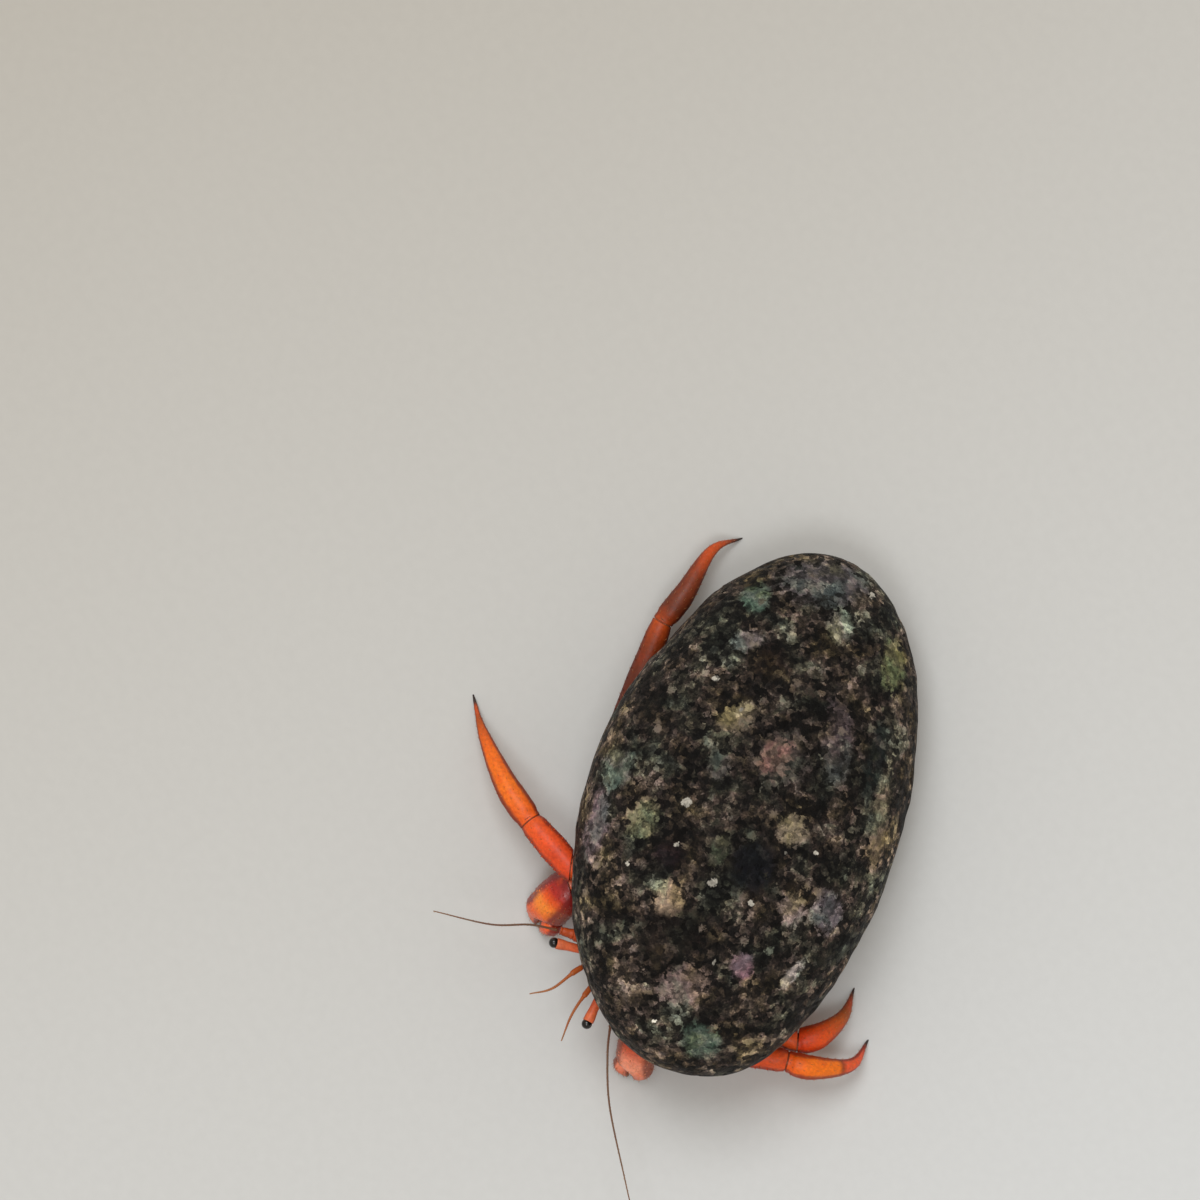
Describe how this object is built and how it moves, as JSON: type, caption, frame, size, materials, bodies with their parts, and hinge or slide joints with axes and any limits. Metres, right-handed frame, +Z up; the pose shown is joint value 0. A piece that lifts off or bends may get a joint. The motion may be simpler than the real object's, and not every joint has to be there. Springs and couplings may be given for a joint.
{
  "type": "hermit crab",
  "caption": "Orange hermit crab that carries a smooth hollowed pebble as its shell, claws lowered and legs spread on the floor.",
  "frame": {"origin": "middle of the object's footprint (the bounding box seen from above), at floor level", "axes": "+Z up, -Y the way the crab faces, +X towards the crab's left"},
  "size_m": [0.055, 0.0578, 0.0205],
  "materials": {
    "pebble": "satin, water-worn speckled stone",
    "shell": "glossy calcified cuticle",
    "claw": "glossy calcified cuticle, granular",
    "flesh": "soft moist skin",
    "cornea": "wet gloss"
  },
  "bodies": {
    "root": {"pebble_shell": "pebble", "head_shield": "shell", "thorax": "flesh", "sternum": "shell", "abdomen_front": "flesh", "abdomen_middle": "flesh", "abdomen_rear": "flesh", "tail_fan": "shell", "eyestalk_right": "shell", "eye_right": "cornea", "antennule_right": "shell", "antenna_base_right": "shell", "antenna_right": "shell", "maxilliped_right": "shell", "fourth_leg_right": "shell", "fifth_leg_right": "shell", "claw_right_base": "claw", "claw_right_merus": "claw", "claw_right_carpus": "claw", "claw_right_palm": "claw", "claw_right_finger": "claw", "eyestalk_left": "shell", "eye_left": "cornea", "antennule_left": "shell", "antenna_base_left": "shell", "antenna_left": "shell", "maxilliped_left": "shell", "fourth_leg_left": "shell", "fifth_leg_left": "shell", "claw_left_base": "claw", "claw_left_merus": "claw", "claw_left_carpus": "claw", "claw_left_palm": "claw", "claw_left_finger": "claw", "front_leg_right_base": "shell", "front_leg_right_merus": "shell", "front_leg_right_carpus": "shell", "front_leg_right_propodus": "shell", "front_leg_right_dactyl": "shell", "rear_leg_right_base": "shell", "rear_leg_right_merus": "shell", "rear_leg_right_carpus": "shell", "rear_leg_right_propodus": "shell", "rear_leg_right_dactyl": "shell", "front_leg_left_base": "shell", "front_leg_left_merus": "shell", "front_leg_left_carpus": "shell", "front_leg_left_propodus": "shell", "front_leg_left_dactyl": "shell", "rear_leg_left_base": "shell", "rear_leg_left_merus": "shell", "rear_leg_left_carpus": "shell", "rear_leg_left_propodus": "shell", "rear_leg_left_dactyl": "shell"}
  },
  "joints": []
}
